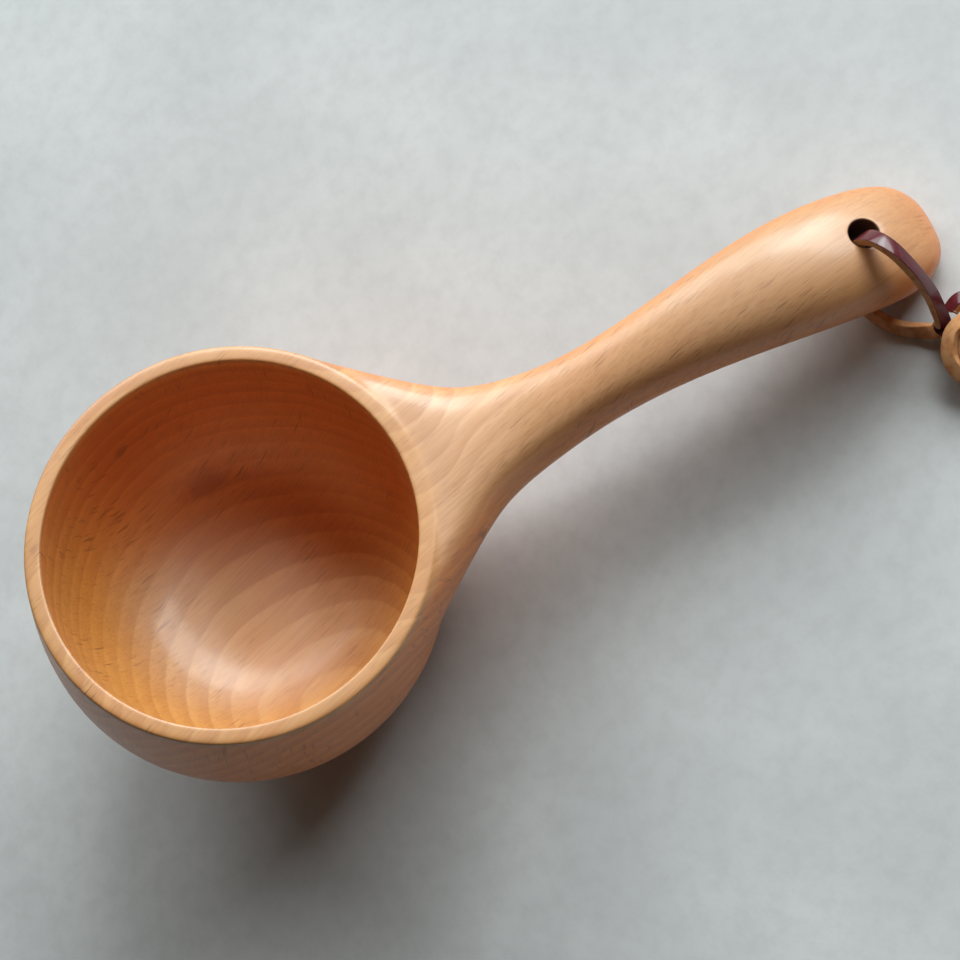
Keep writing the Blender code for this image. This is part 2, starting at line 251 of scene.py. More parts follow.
# The second half turns over within this share of the knot, and is held off a little meanwhile
TURN_SHARE = 0.2
TURN_LIFT = 0.0004
SEAT_GAP = 0.0003
SEAT_REACH = 0.0022
KNOT_RADIUS = 0.0060
KNOT_SWING = 0.0028
KNOT_HEADING = math.radians(190)
KNOT_LONG_WAY = math.radians(61)
KNOT_STRETCH = 1.22
TREFOIL_KEPT = (0.515, 1.215)
TREFOIL_POINTS = 19
ROUTE_STEPS = 24
# Routes are offsets from the point of the table under the middle of the hole
KNOT_MIDDLE = (0.0172, -0.0320)
UPPER_LEG = (
    (0.0001, -0.0003, 0.0157),
    (0.0033, -0.0008, 0.0212),
    (0.0056, -0.0016, 0.0248),
    (0.0082, -0.0044, 0.0275),
    (0.0103, -0.0083, 0.0276),
    (0.0114, -0.0120, 0.0254),
    (0.0120, -0.0159, 0.0212),
    (0.0118, -0.0190, 0.0159),
    (0.0109, -0.0214, 0.0106),
    (0.0100, -0.0234, 0.0066),
)
LOWER_LEG = (
    (-0.0001, -0.0003, 0.0154),
    (-0.0022, -0.0005, 0.0114),
    (-0.0044, -0.0009, 0.0078),
    (-0.0059, -0.0023, 0.0049),
    (-0.0060, -0.0058, 0.0037),
    (-0.0048, -0.0106, 0.0030),
    (-0.0028, -0.0145, 0.0024),
    (-0.0003, -0.0179, 0.0023),
    (0.0034, -0.0208, 0.0023),
    (0.0070, -0.0232, 0.0022),
)
# Which way each leg's grain side faces, by distance from the middle of the hole
UPPER_FACINGS = (
    (0.0, (0.0, 1.0, 0.0)),
    (0.0060, (0.0, 1.0, 0.15)),
    (0.0125, (0.15, 0.50, 0.85)),
    (0.0175, (0.32, 0.40, 0.86)),
    (0.0225, (0.76, 0.02, 0.65)),
    (0.0280, (0.875, -0.21, 0.44)),
    (0.0360, (0.77, -0.62, 0.14)),
    (0.0440, (0.65, -0.75, 0.17)),
)
LOWER_FACINGS = (
    (0.0, (0.0, 1.0, 0.0)),
    (0.0090, (0.30, 0.90, -0.20)),
    (0.0190, (0.69, 0.50, -0.52)),
    (0.0330, (0.60, 0.55, -0.58)),
)
KNOT_ENTRY = (
    (0.0098, -0.0256, 0.0034),
    (0.0110, -0.0281, 0.0033),
    (0.0124, -0.0304, 0.0038),
)
KNOT_EXIT = (
    (0.0210, -0.0286, 0.0071),
    (0.0201, -0.0244, 0.0054),
)
UPPER_TAIL = (
    (0.0183, -0.0214, 0.0055),
    (0.0156, -0.0204, 0.0058),
    (0.0124, -0.0215, 0.0054),
)
LOWER_TAIL = (
    (0.0206, -0.0196, 0.0020),
    (0.0222, -0.0168, 0.0015),
    (0.0244, -0.0144, 0.0015),
)

# Leather: the dyed, polished grain side, and the raw flesh side with the cut edges.  A noise has its scale,
# detail and roughness, the fibres' scale is each side's own, and a span is the part of a noise that counts
LEATHER_MOTTLE = (420.0, 3.0, 0.6)
FIBRE_DETAIL = (4.0, 0.7)
MOTTLE_SPAN = (0.35, 0.68)
MOTTLE_ROUGH_SPAN = (0.3, 0.7)
FIBRE_SPAN = (0.45, 0.80)
FIBRE_SHARE = 0.35
LEATHER = {
    "leather_grain": {
        "colours": ((0.078, 0.006, 0.011), (0.110, 0.011, 0.017)),
        "roughness": (0.42, 0.56),
        "fibres": 2600.0,
        "relief": 0.00003,
        "constants": {"coat_weight": 0.80, "coat_roughness": 0.18, "specular_ior_level": 0.15},
    },
    "leather_flesh": {
        "colours": ((0.680, 0.340, 0.150), (0.520, 0.205, 0.075)),
        "roughness": (0.62, 0.80),
        "fibres": 1900.0,
        "relief": 0.00007,
        "constants": {"specular_ior_level": 0.3},
    },
}

# Floor: pale, with soft clouds between two colours and a fine darker mottle
CLOUDS = (14.0, 4.0, 0.55)
CLOUD_SPAN = (0.3, 0.7)
CLOUD_COLOURS = ((0.560, 0.566, 0.574), (0.645, 0.650, 0.656))
FLOOR_MOTTLE = (170.0, 4.0, 0.65)
FLOOR_MOTTLE_SPAN = (0.35, 0.75)
FLOOR_MOTTLE_COLOUR = (0.400, 0.400, 0.395)
FLOOR_MOTTLE_SHARE = 0.22
FLOOR_ROUGHNESS = (0.70, 0.80)
FLOOR_GRIT_SCALE = 300.0
FLOOR_RELIEF = 0.00005
FLOOR_SHINE = 0.25


# Bowl and handle


def bowl_outside():
    """Radius and height of the outer cage rings, from the rim's edge down to the foot's flat."""
    return (
        (RIM_RADIUS, 0.0),
        (RIM_RADIUS, -RIM_ROUNDING),
        ((RIM_RADIUS + 2 * BELLY_RADIUS) / 3, -SHOULDER_RING * BELLY_DEPTH),
        (BELLY_RADIUS, -ROOT_DEPTH),
        *((out * BELLY_RADIUS, -down * BOWL_HEIGHT) for out, down in SIDE_RINGS),
        (FOOT_RADIUS + FOOT_RING[0] * (BELLY_RADIUS - FOOT_RADIUS), -FOOT_RING[1] * BOWL_HEIGHT),
        (FOOT_RADIUS + FOOT_ROUNDING, -BOWL_HEIGHT),
        (FOOT_RADIUS - FOOT_ROUNDING, -BOWL_HEIGHT),
    )


def bowl_inside():
    """Radius and height of the inner cage rings, from the rim's edge down towards the bowl's floor."""
    radius = RIM_RADIUS - RIM_WALL
    depth = BOWL_HEIGHT - FLOOR_THICKNESS
    return (
        (radius + RIM_ROUNDING, 0.0),
        (radius, 0.0),
        (radius, -RIM_ROUNDING),
        *((out * radius, -down * depth) for out, down in INSIDE_RINGS),
    )


def swell(height):
    """The carved outside leans towards the toe, away from the handle, more and more down to its belly."""
    return -TOE_SWELL * min(1.0, -height / BELLY_DEPTH)


def ring_points(radius, height, middle=0.0):
    spread = radius / RING_SHRINK
    step = 2 * math.pi / COLUMNS
    angles = [k * step for k in range(COLUMNS)]
    return [(middle + spread * math.cos(angle), spread * math.sin(angle), height) for angle in angles]


def close_round(mesh, ring):
    """Close a ring of sixteen cage points with a flat grid of four by four faces."""
    side = COLUMNS // 4
    start = COLUMNS // 8
    grid = {}
    for k in range(COLUMNS):
        edge, along = divmod(k, side)
        spot = ((side, along), (side - along, side), (0, side - along), (along, 0))[edge]
        grid[spot] = ring[(k - start) % COLUMNS]
    middle = sum((point.co for point in ring), Vector()) / COLUMNS
    radius = (ring[0].co - middle).length
    for i in range(1, side):
        for j in range(1, side):
            u = 2 * i / side - 1
            v = 2 * j / side - 1
            x = u * math.sqrt(1 - v * v / 2) * radius
            y = v * math.sqrt(1 - u * u / 2) * radius
            grid[i, j] = mesh.verts.new(middle + Vector((x, y, 0.0)))
    for i in range(side):
        for j in range(side):
            mesh.faces.new((grid[i, j], grid[i + 1, j], grid[i + 1, j + 1], grid[i, j + 1]))


def join_rings(mesh, first, second, leave_out=()):
    for k in range(len(first)):
        after = (k + 1) % len(first)
        if k not in leave_out:
            mesh.faces.new((first[k], first[after], second[after], second[k]))


def handle_path():
    """Distance from the bowl's axis and rise of the handle's middle line, section by section to the tip."""
    path = [(RIM_RADIUS + share * HANDLE_REACH, rise) for share, rise in zip(SECTION_SHARES, SECTION_RISES)]
    return path + [(RIM_RADIUS + HANDLE_REACH, TIP_RISE)]


def path_slope(path, k):
    before = path[max(k - 1, 0)]
    after = path[k + 1]
    return math.atan2(after[1] - before[1], after[0] - before[0])


def powered(value, power):
    return math.copysign(abs(value) ** power, value)


def section_ring(mesh, k):
    """Twelve cage points round the handle at one section, square to its run."""
    path = handle_path()
    along, rise = path[k]
    slope = path_slope(path, k)
    power = 2 / SQUARENESS[k]
    ring = []
    for degrees in SECTION_ANGLES:
        angle = math.radians(degrees)
        across = powered(math.cos(angle), power) * HALF_WIDTHS[k] / SECTION_SHRINK
        up = powered(math.sin(angle), power) * HALF_THICKNESSES[k] / SECTION_SHRINK
        ring.append(mesh.verts.new((along - up * math.sin(slope), across, rise + up * math.cos(slope))))
    return ring


def close_tip(mesh, ring):
    """Close the handle's end with a grid of four by two faces, its middle row pushed out to the tip."""
    reach, rise = handle_path()[-1]
    top = ring[1:6]
    bottom = ring[7:12][::-1]
    middle = [ring[0]]
    for upper, lower in zip(top[1:4], bottom[1:4]):
        middle.append(mesh.verts.new((reach, (upper.co.y + lower.co.y) / 2, rise)))
    middle.append(ring[6])
    for k in range(len(top) - 1):
        mesh.faces.new((top[k], top[k + 1], middle[k + 1], middle[k]))
        mesh.faces.new((middle[k], middle[k + 1], bottom[k + 1], bottom[k]))


def scoop_cage():
    """The coarse cage of the whole scoop: the bowl's rings and the handle drawn out of its wall."""
    mesh = bmesh.new()
    outside = [[mesh.verts.new(p) for p in ring_points(r, z, swell(z))] for r, z in bowl_outside()]
    inside = [[mesh.verts.new(p) for p in ring_points(r, z)] for r, z in bowl_inside()]
    first, last = ROOT_ROWS
    root_points = [k % COLUMNS for k in range(-ROOT_SIDE, ROOT_SIDE + 1)]
    for k in range(-ROOT_SIDE, ROOT_SIDE + 1):
        out, lift = ROOT_MERGE[abs(k)]
        point = outside[first][k % COLUMNS].co
        point += Vector((point.x, point.y, 0.0)).normalized() * out + Vector((0.0, 0.0, lift))
    for row in range(len(outside) - 1):
        left_open = root_points[:-1] if first <= row < last else ()
        join_rings(mesh, outside[row], outside[row + 1], left_open)
    join_rings(mesh, outside[0], inside[0])
    for upper, lower in zip(inside, inside[1:]):
        join_rings(mesh, upper, lower)
    close_round(mesh, outside[-1])
    close_round(mesh, inside[-1])

    # The gap in the wall, in the order of SECTION_ANGLES
    top = [outside[first][k] for k in root_points]
    sides = [outside[first + 1][k] for k in root_points]
    bottom = [outside[last][k] for k in root_points]
    ring = [sides[-1]] + top[::-1] + [sides[0]] + bottom
    for k in range(len(SECTION_SHARES)):
        new_ring = section_ring(mesh, k)
        join_rings(mesh, ring, new_ring)
        ring = new_ring
    close_tip(mesh, ring)
    bmesh.ops.recalc_face_normals(mesh, faces=mesh.faces)
    return mesh


def hole_middle():
    """The hole's middle in the carving frame, and the slope of the handle there."""
    distance = RIM_RADIUS + HANDLE_REACH - HOLE_FROM_TIP
    path = handle_path()
    for before, after in zip(path, path[1:]):
        if distance <= after[0]:
            break
    share = (distance - before[0]) / (after[0] - before[0])
    slope = math.atan2(after[1] - before[1], after[0] - before[0])
    return Vector((distance, 0.0, before[1] + share * (after[1] - before[1]))), slope


def new_object(name, data):
    made = bpy.data.objects.new(name, data)
    bpy.context.scene.collection.objects.link(made)
    return made


def applied(item):
    """A mesh with the object's modifiers in it."""
    bpy.context.view_layer.update()
    return bpy.data.meshes.new_from_object(item.evaluated_get(bpy.context.evaluated_depsgraph_get()))


def hole_cutter(surface):
    """A cutter for the hanging hole. Its ends flare as they meet the handle's surface, for a rounded edge."""
    middle, slope = hole_middle()
    axis = Vector((-math.sin(slope), 0.0, math.cos(slope)))
    forward = Vector((math.cos(slope), 0.0, math.sin(slope)))
    aside = Vector((0.0, 1.0, 0.0))
    faces = [tuple(face.vertices) for face in surface.polygons]
    tree = BVHTree.FromPolygons([point.co for point in surface.vertices], faces)
    far = CUTTER_REACH * max(HALF_THICKNESSES)
    radius = HOLE_DIAMETER / 2

    def ring(end, angle_on_edge, beyond=0.0, lift=0.0):
        """One ring of the cutter at the top end (1) or the bottom end (-1)."""
        spread = radius + HOLE_EDGE * (1 - math.cos(angle_on_edge)) + beyond
        sunk = HOLE_EDGE * (1 - math.sin(angle_on_edge)) - lift
        points = []
        for k in range(HOLE_SIDES):
            turn = 2 * math.pi * k / HOLE_SIDES
            foot = middle + (forward * math.cos(turn) + aside * math.sin(turn)) * spread
            hit = tree.ray_cast(foot + axis * end * far, -axis * end)[0]
            points.append(hit - axis * end * sunk)
        return points

    edge = [math.radians(degrees) for degrees in HOLE_EDGE_ANGLES]
    steep = edge[-1]
    out = HOLE_OVERRUN * HOLE_EDGE
    rise = out / math.tan(steep)
    rings = []
    for end in (1, -1):
        side = [ring(end, angle) for angle in edge]
        side.append(ring(end, steep, out, rise))
        side.append([point + axis * end * CUTTER_CLEAR for point in side[-1]])
        rings.append(side)
    cutter = bmesh.new()
    stack = [[cutter.verts.new(p) for p in points] for points in rings[0][::-1] + rings[1]]
    for upper, lower in zip(stack, stack[1:]):
        join_rings(cutter, upper, lower)
    cutter.faces.new(stack[0])
    cutter.faces.new(stack[-1][::-1])
    bmesh.ops.recalc_face_normals(cutter, faces=cutter.faces)
    data = bpy.data.meshes.new("hole_cutter")
    cutter.to_mesh(data)
    cutter.free()
    return new_object("hole_cutter", data)


def stance():
    """How the scoop stands, worked out from the foot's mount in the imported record."""
    foot = frame["record"]["mounts"][0]
    down = Vector(foot["axis"])
    tilt = math.atan2(-down.x, -down.z)
    turn = Matrix.Rotation(tilt, 4, "Y")
    place = Vector(foot["pos_m"]) - turn @ Vector((swell(-BOWL_HEIGHT), 0.0, -BOWL_HEIGHT))
    return Matrix.Translation(place) @ turn


def make_scoop(stands):
    cage = scoop_cage()
    data = bpy.data.meshes.new("scoop_cage")
    cage.to_mesh(data)
    cage.free()
    scoop = new_object("scoop_wood", data)
    rounded = scoop.modifiers.new("rounded form", "SUBSURF")
    rounded.levels = SMOOTH_LEVELS
    rounded.render_levels = SMOOTH_LEVELS
    scoop.data = applied(scoop)
    scoop.modifiers.clear()
    cutter = hole_cutter(scoop.data)
    bored = scoop.modifiers.new("hanging hole", "BOOLEAN")
    bored.operation = "DIFFERENCE"
    bored.solver = "EXACT"
    bored.object = cutter
    scoop.data = applied(scoop)
    scoop.modifiers.clear()
    bpy.data.objects.remove(cutter, do_unlink=True)
    scoop.data.name = "scoop_wood"
    scoop.data.materials.clear()
    scoop.data.shade_smooth()
    scoop.data.transform(stands)
    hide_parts("scoop")
    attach(scoop, "root")
    return scoop


# Lace


def smooth_route(points, spacing):
    """Points at an even spacing along a smooth curve through the route's own points."""
    knots = np.array(points, dtype=float)
    ends = np.vstack([2 * knots[0] - knots[1], knots, 2 * knots[-1] - knots[-2]])
    fine = []
    for k in range(len(knots) - 1):
        a, b, c, d = ends[k:k + 4]
        for t in np.linspace(0, 1, ROUTE_STEPS, endpoint=False):
            fine.append(0.5 * (2 * b + (c - a) * t + (2 * a - 5 * b + 4 * c - d) * t ** 2
                               + (3 * b - 3 * c + d - a) * t ** 3))
    fine.append(knots[-1])
    fine = np.array(fine)
    run = np.concatenate([[0], np.cumsum(np.linalg.norm(np.diff(fine, axis=0), axis=1))])
    count = max(2, round(run[-1] / spacing)) + 1
    even = np.linspace(0, run[-1], count)
    return np.stack([np.interp(even, run, fine[:, axis]) for axis in range(3)], axis=1)


def knot_route():
    """An overhand knot: a trefoil cut open, with the strands that enter and leave it."""
    middle = Vector((*KNOT_MIDDLE, SEAT_GAP + KNOT_STRAND / 2 + KNOT_SWING))
    ring = []
    longer = Vector((math.cos(KNOT_LONG_WAY), math.sin(KNOT_LONG_WAY), 0.0))
    for share in np.linspace(*TREFOIL_KEPT, TREFOIL_POINTS):
        phase = 2 * math.pi * share
        angle = KNOT_HEADING + 2 * phase
        radius = KNOT_RADIUS + KNOT_SWING * math.cos(3 * phase)
        height = -KNOT_SWING * math.sin(3 * phase)
        point = Vector((radius * math.cos(angle), radius * math.sin(angle), height))
        ring.append(tuple(middle + point + longer * point.dot(longer) * (KNOT_STRETCH - 1)))
    return [*KNOT_ENTRY, *ring, *KNOT_EXIT]


def unit(rows):
    return rows / np.linalg.norm(rows, axis=-1, keepdims=True)


def square_to(rows, run):
    """The rows made square to the run's direction, at unit length."""
    return unit(rows - (rows * run).sum(axis=-1, keepdims=True) * run)


def directions(points):
    return unit(np.gradient(points, axis=0))


def eased(values):
    values = np.clip(values, 0.0, 1.0)
    return values * values * (3 - 2 * values)


def knot_frames(points):
    """Along the knot's middle line: its direction, and which way the first half lies from the second.

    At both ends the first half lies above. In between it has rolled over the inner side of the turns, and
    lies below.
    """
    run = directions(points)
    share = np.linspace(0, 1, len(points))
    rolled = KNOT_ROLL * eased(share / ROLL_SHARE) * eased((1 - share) / ROLL_SHARE)
    middle = np.array((*KNOT_MIDDLE, 0.0))
    inward = middle - points
    inward[:, 2] = 0.0
    inward = square_to(unit(inward), run)
    upward = square_to(np.tile((0.0, 0.0, 1.0), (len(points), 1)), run)
    blend = inward * np.sin(rolled)[:, None] + upward * np.cos(rolled)[:, None]
    return run, square_to(blend, run)


def grain_normals(points, facings, last):
    """Which way the grain side faces along a route: by distance along it, and the last one at its end."""
    distance = np.concatenate([[0.0], np.cumsum(np.linalg.norm(np.diff(points, axis=0), axis=1))])
    spots = [facing[0] for facing in facings] + [distance[-1]]
    rows = np.array([facing[1] for facing in facings] + [tuple(last)], dtype=float)
    rows = np.stack([np.interp(distance, spots, rows[:, axis]) for axis in range(3)], axis=1)
    return square_to(rows, directions(points))


def strip_section():
    """Across and up coordinates round the strip, and which of its faces belong to the grain side."""
    corners = ((1, 1), (-1, 1), (-1, -1), (1, -1))
    points = []
    for k, (side, up) in enumerate(corners):
        for degrees in CORNER_ANGLES:
            angle = math.radians(90 * k + degrees)
            across = side * (LACE_WIDTH / 2 - LACE_CORNER) + LACE_CORNER * math.cos(angle)
            high = up * (LACE_THICKNESS / 2 - LACE_CORNER) + LACE_CORNER * math.sin(angle)
            points.append((across, high))
    low = LACE_THICKNESS / 2 - GRAIN_EDGE * LACE_CORNER
    grain = [points[k][1] > low and points[(k + 1) % len(points)][1] > low for k in range(len(points))]
    return points, grain


def strip(name, points, normals, cut):
    """A flat leather strip along the points. cut is how far its far end is slanted."""
    run = directions(points)
    aside = np.cross(run, normals)
    section, grain = strip_section()
    mesh = bmesh.new()
    rings = []
    for k in range(len(points)):
        ring = []
        for across, high in section:
            place = points[k] + aside[k] * across + normals[k] * high
            if k == len(points) - 1:
                place = place + run[k] * cut * across / LACE_WIDTH
            ring.append(mesh.verts.new(place))
        rings.append(ring)
    for before, after in zip(rings, rings[1:]):
        for k in range(len(section)):
            following = (k + 1) % len(section)
            face = mesh.faces.new((before[k], before[following], after[following], after[k]))
            face.material_index = 0 if grain[k] else 1
            face.smooth = True
    for ring in (rings[0][::-1], rings[-1]):
        mesh.faces.new(ring).material_index = 1
    bmesh.ops.recalc_face_normals(mesh, faces=mesh.faces)
    data = bpy.data.meshes.new(name)
    mesh.to_mesh(data)
    mesh.free()
    return new_object(name, data)


def seat(end, inner, side):
    """The leg's or tail's first two points from the knot's end, above (1) or below (-1)."""
    outwards = unit(np.array(end - inner))
    upwards = square_to(np.array((0.0, 0.0, 1.0)), outwards)
    near = end + upwards * side * STRAND_SPACING / 2 + outwards * SEAT_GAP
    return tuple(near), tuple(near + outwards * SEAT_REACH)


def make_lace(base):
    """Both halves of the strip, each from the hole's middle through its leg and the knot to its tail."""
    knot = smooth_route(knot_route(), LACE_STEP)
    run, stacked = knot_frames(knot)
    made = []
    halves = (
        ("upper", UPPER_LEG, UPPER_FACINGS, UPPER_TAIL, 1),
        ("lower", LOWER_LEG, LOWER_FACINGS, LOWER_TAIL, -1),
    )
    share = np.linspace(0, 1, len(knot))
    for name, leg, facings, tail, side in halves:
        near, far = seat(knot[0], knot[1], side)
        leg_points = smooth_route((*leg, far, near), LACE_STEP)
        near, far = seat(knot[-1], knot[-2], side)
        tail_points = smooth_route((near, far, *tail), LACE_STEP)
        knot_points = knot + stacked * side * STRAND_SPACING / 2
        if side > 0:
            knot_normals = stacked
        else:
            # The second half turns over as it goes in, so its flesh side is outside in the turns
            turn = math.pi * eased(share / TURN_SHARE)
            lift = TURN_LIFT * np.sin(turn) ** 2
            knot_points = knot_points - stacked * lift[:, None]
            aside = np.cross(run, stacked)
            knot_normals = -stacked * np.cos(turn)[:, None] + aside * np.sin(turn)[:, None]
        leg_normals = grain_normals(leg_points, facings, knot_normals[0])
        tail_normals = grain_normals(tail_points, ((0.0, knot_normals[-1]),), knot_normals[-1])
        points = np.vstack([leg_points[:-1], knot_points, tail_points[1:]])
        normals = np.vstack([leg_normals[:-1], knot_normals, tail_normals[1:]])
        points = points + np.array(base)
        normals = square_to(normals, directions(points))
        piece = strip("lace_" + name, points, normals, TAIL_CUT * side)
        nodes = ["lace_" + name + "_leg", "lace_" + name + "_tail"] + (["lace_knot"] if side > 0 else [])
        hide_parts(*nodes)
        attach(piece, "root")
        made.append(piece)
    return made


# Materials


class Tree:
    """Short calls that add nodes to a node tree and link them."""

    def __init__(self, tree):
        self.tree = tree

    def add(self, kind, *inputs, named=None, **settings):
        """A new node. inputs are set or linked in order, None leaves one alone, and named goes by socket."""
        node = self.tree.nodes.new(kind)
        for key, value in settings.items():
            setattr(node, key, value)
        for place, value in [*enumerate(inputs), *(named or {}).items()]:
            if value is None:
                continue
            if isinstance(value, bpy.types.NodeSocket):
                self.tree.links.new(value, node.inputs[place])
            else:
                node.inputs[place].default_value = value
        return node

    def math(self, operation, *inputs):
        return self.add("ShaderNodeMath", *inputs, operation=operation).outputs[0]

    def noise(self, vector, scale, detail=2.0, rough=0.5, out="Fac"):
        named = {"Vector": vector, "Scale": scale, "Detail": detail, "Roughness": rough}
        return self.add("ShaderNodeTexNoise", named=named).outputs[out]

    def scaled(self, vector, factors):
        return self.add("ShaderNodeVectorMath", vector, factors, operation="MULTIPLY").outputs[0]

    def curve(self, value, points):
        """A smooth curve through the points, which are pairs of a value and what it turns into."""
        spans = [(min(side), max(side)) for side in zip(*points)]
        start = self.add("ShaderNodeMapRange", value, *spans[0], 0.0, 1.0).outputs[0]
        node = self.add("ShaderNodeFloatCurve", None, start)
        line = node.mapping.curves[0]
        places = [tuple((x - low) / (high - low) for x, (low, high) in zip(point, spans)) for point in points]
        while len(line.points) < len(places):
            line.points.new(0.5, 0.5)
        for point, place in zip(line.points, sorted(places)):
            point.location = place
        node.mapping.update()
        return self.add("ShaderNodeMapRange", node.outputs[0], 0.0, 1.0, *spans[1]).outputs[0]

    def between(self, value, low, high, to_low=0.0, to_high=1.0):
        node = self.add("ShaderNodeMapRange", value, low, high, to_low, to_high,
                        interpolation_type="SMOOTHSTEP")
        return node.outputs[0]

    def both(self, first, first_span, second, second_span):
        """How far one value has come through its span, times how far another has come through its own."""
        return self.math("MULTIPLY", self.between(first, *first_span), self.between(second, *second_span))

    def length(self, vector):
        return self.add("ShaderNodeVectorMath", vector, operation="LENGTH").outputs["Value"]

    def mixed(self, factor, first, second, blend="MIX"):
        node = self.add("ShaderNodeMix", data_type="RGBA", blend_type=blend)
        for place, value in ((0, factor), (6, first), (7, second)):
            if isinstance(value, bpy.types.NodeSocket):
                self.tree.links.new(value, node.inputs[place])
            else:
                node.inputs[place].default_value = value if place == 0 else (*value, 1.0)
        return node.outputs[2]


def new_material(name, **constants):
    """A material with a Principled shader, whose constants are set on the shader's own sockets."""
    made = bpy.data.materials.new(name)
    made.use_nodes = True
    shader = made.node_tree.nodes["Principled BSDF"]
    for key, value in constants.items():
        shader.inputs[key.replace("_", " ").title().replace("Ior", "IOR")].default_value = value
    return made, Tree(made.node_tree), shader


def finish_material(tree, shader, colour, roughness, height, distance):
    """Links colour and roughness, and a height in metres times a distance as bump."""
    bump = tree.add("ShaderNodeBump", named={"Strength": 1.0, "Distance": distance, "Height": height})
    tree.tree.links.new(colour, shader.inputs["Base Color"])
    tree.tree.links.new(roughness, shader.inputs["Roughness"])
    tree.tree.links.new(bump.outputs[0], shader.inputs["Normal"])


def wood_noise(tree, grain, name, ends=(0.0, 1.0)):
    """One of the wood's noises, which goes from one end value to the other over its span."""
    size, detail, rough, span = WOOD_NOISES[name]
    return tree.between(tree.noise(tree.scaled(grain, size), 1.0, detail, rough), *span, *ends)


def growth_layers(tree, along, across, up, grain):
    """The dark edge that each year starts with, and the light crest that it grows paler to."""
    lean = tree.math("MULTIPLY_ADD", along, LAYER_LEAN[1], LAYER_LEAN[0])
    lean = tree.math("MULTIPLY_ADD", across, LAYER_LEAN[2], lean)
    level = tree.math("MULTIPLY_ADD", across, lean, up)
    level = tree.math("ADD", level, tree.curve(along, LAYER_RISE))
    wobble = tree.noise(tree.scaled(grain, WOBBLE_GRAIN), 1.0, 2.0)
    level = tree.math("MULTIPLY_ADD", wobble, LAYER_WOBBLE, level)
    years = tree.math("MULTIPLY_ADD", level, 1 / YEAR, YEAR_START)
    uneven = tree.add("ShaderNodeTexNoise", noise_dimensions="1D",
                      named={"W": years, "Scale": UNEVEN_SCALE, "Detail": 1.0})
    years = tree.math("MULTIPLY_ADD", uneven.outputs["Fac"], YEAR_UNEVEN, years)
    year = tree.math("FRACT", years)
    which = tree.add("ShaderNodeTexWhiteNoise", noise_dimensions="1D",
                     named={"W": tree.math("FLOOR", years)})
    strength = tree.between(which.outputs["Value"], 0.0, 1.0, *YEAR_STRENGTHS)
    strength = tree.math("MULTIPLY", strength, tree.between(along, *LAYER_FADE))
    bands = [tree.both(year, rise, year, fall) for rise, fall in (DARK_EDGE, CREST)]
    return [tree.math("MULTIPLY", band, strength) for band in bands]


def ray_flecks(tree, along, grain, normal):
    """Thin ribbons that stand in the grain, in clumps, and show most on the sides and the toe."""
    warp = tree.noise(grain, FLECK_WARP_SCALE, 1.0, out="Color")
    warped = tree.add("ShaderNodeVectorMath", warp, FLECK_WARP, grain, operation="MULTIPLY_ADD").outputs[0]
    clumps = wood_noise(tree, grain, "clump")
    aside = tree.math("ABSOLUTE", tree.add("ShaderNodeSeparateXYZ", normal).outputs[1])
    shown = tree.math("MAXIMUM", tree.between(aside, *FLECK_SIDES), tree.between(along, *FLECK_TOE))
    shown = tree.math("MULTIPLY_ADD", shown, 1 - FLECK_ELSEWHERE, FLECK_ELSEWHERE)
    shown = tree.math("MULTIPLY", shown, tree.between(clumps, 0.0, 1.0, *FLECK_CLUMPS))
    flecks = []
    for size, empty, strength in FLECKS:
        ray = tree.add("ShaderNodeTexVoronoi", feature="F1",
                       named={"Vector": tree.scaled(warped, size), "Scale": 1.0})
        chosen = tree.add("ShaderNodeSeparateColor", ray.outputs["Color"]).outputs[0]
        chosen = tree.math("MULTIPLY_ADD", clumps, CLUMPED, chosen)
        fleck = tree.both(ray.outputs["Distance"], FLECK_EDGE, chosen, (empty, empty + FLECK_FADE))
        flecks.append(tree.math("MULTIPLY", fleck, strength))
    return tree.math("MULTIPLY", tree.math("MAXIMUM", *flecks), shown)


def stain_spot(tree, place, grain):
    """A darker stain in the wood, on the far side of the bowl."""
    spot = tree.add("ShaderNodeVectorMath", place, STAIN_AT, operation="SUBTRACT").outputs[0]
    spot = tree.length(tree.scaled(spot, STAIN_SIZE))
    spot = tree.math("MULTIPLY_ADD", tree.noise(grain, STAIN_NOISE_SCALE), STAIN_RAGGED, spot)
    return tree.between(spot, *STAIN_EDGE)


def hole_side(tree, place):
    """The bored hole's side, where a nearly black shade is painted."""
    hole, slope = hole_middle()
    turned = {"Location": hole, "Rotation": (0.0, -slope, 0.0)}
    bored = tree.add("ShaderNodeMapping", place, vector_type="TEXTURE", named=turned).outputs[0]
    bored = tree.length(tree.scaled(bored, (1.0, 1.0, 0.0)))
    return tree.between(bored, *(HOLE_DIAMETER / 2 + past for past in BORE_FADE))


